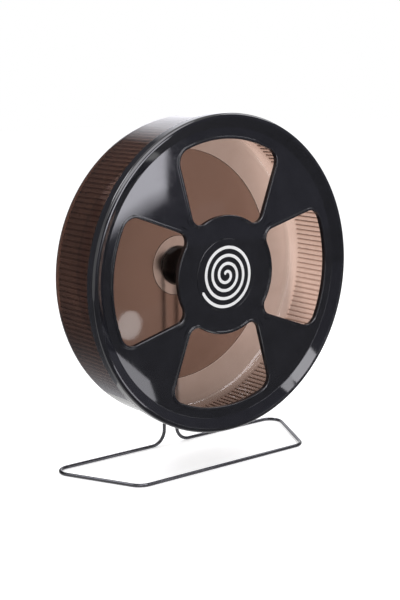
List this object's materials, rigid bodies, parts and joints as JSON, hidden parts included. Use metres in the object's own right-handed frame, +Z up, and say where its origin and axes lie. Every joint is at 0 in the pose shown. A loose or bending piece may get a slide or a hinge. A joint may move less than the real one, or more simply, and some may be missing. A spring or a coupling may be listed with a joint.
{
  "type": "small pet running wheel",
  "caption": "Smoked plastic running drum with a ribbed tread and a black windowed front cover, turning on a ball-bearing axle held by a bent wire stand.",
  "frame": {"origin": "on the floor, under the middle of the object's box", "axes": "+Z up, the windowed front faces -Y, +X to the right of someone facing the front"},
  "size_m": [0.28, 0.1044, 0.3149],
  "materials": {
    "smoked_plastic": "clear brown moulded plastic, glossy",
    "black_gloss": "black moulded plastic, polished",
    "white_print": "white print",
    "hub_nylon": "natural nylon, satin",
    "block_plastic": "black moulded plastic, satin",
    "stand_wire": "dark nickel-plated wire, glossy",
    "bearing_steel": "ground steel",
    "zinc_steel": "zinc-plated steel"
  },
  "bodies": {
    "stand": {"stand_wire": "stand_wire", "axle_block": "block_plastic", "axle_bolt": "zinc_steel", "head_washer": "zinc_steel", "thrust_washer": "zinc_steel", "spacer_sleeve": "zinc_steel", "nut_washer": "zinc_steel", "lock_nut": "zinc_steel", "nut_insert": "hub_nylon", "front_inner_ring": "bearing_steel", "rear_inner_ring": "bearing_steel"},
    "wheel": {"bearing_hub": "block_plastic", "hub_cap": "black_gloss", "drum": "smoked_plastic", "front_cover": "black_gloss", "hub_badge": "black_gloss", "spiral_inlay": "white_print", "front_outer_ring": "bearing_steel", "front_shields": "bearing_steel", "rear_outer_ring": "bearing_steel", "rear_shields": "bearing_steel"},
    "front_cage": {"front_cage": "bearing_steel", "front_balls": "bearing_steel"},
    "rear_cage": {"rear_cage": "bearing_steel", "rear_balls": "bearing_steel"}
  },
  "joints": [
    {"name": "wheel_spin", "type": "hinge", "parent": "stand", "child": "wheel", "pos_m": [0, 0, 0.1749], "axis": [0, 1, 0], "continuous": true},
    {"name": "front_cage_spin", "type": "hinge", "parent": "stand", "child": "front_cage", "pos_m": [0, 0, 0.1749], "axis": [0, 1, 0], "continuous": true},
    {"name": "rear_cage_spin", "type": "hinge", "parent": "stand", "child": "rear_cage", "pos_m": [0, 0, 0.1749], "axis": [0, 1, 0], "continuous": true}
  ],
  "couplings": [
    {"joint": "front_cage_spin", "follows": "wheel_spin", "ratio": 0.63233},
    {"joint": "rear_cage_spin", "follows": "wheel_spin", "ratio": 0.63233}
  ]
}
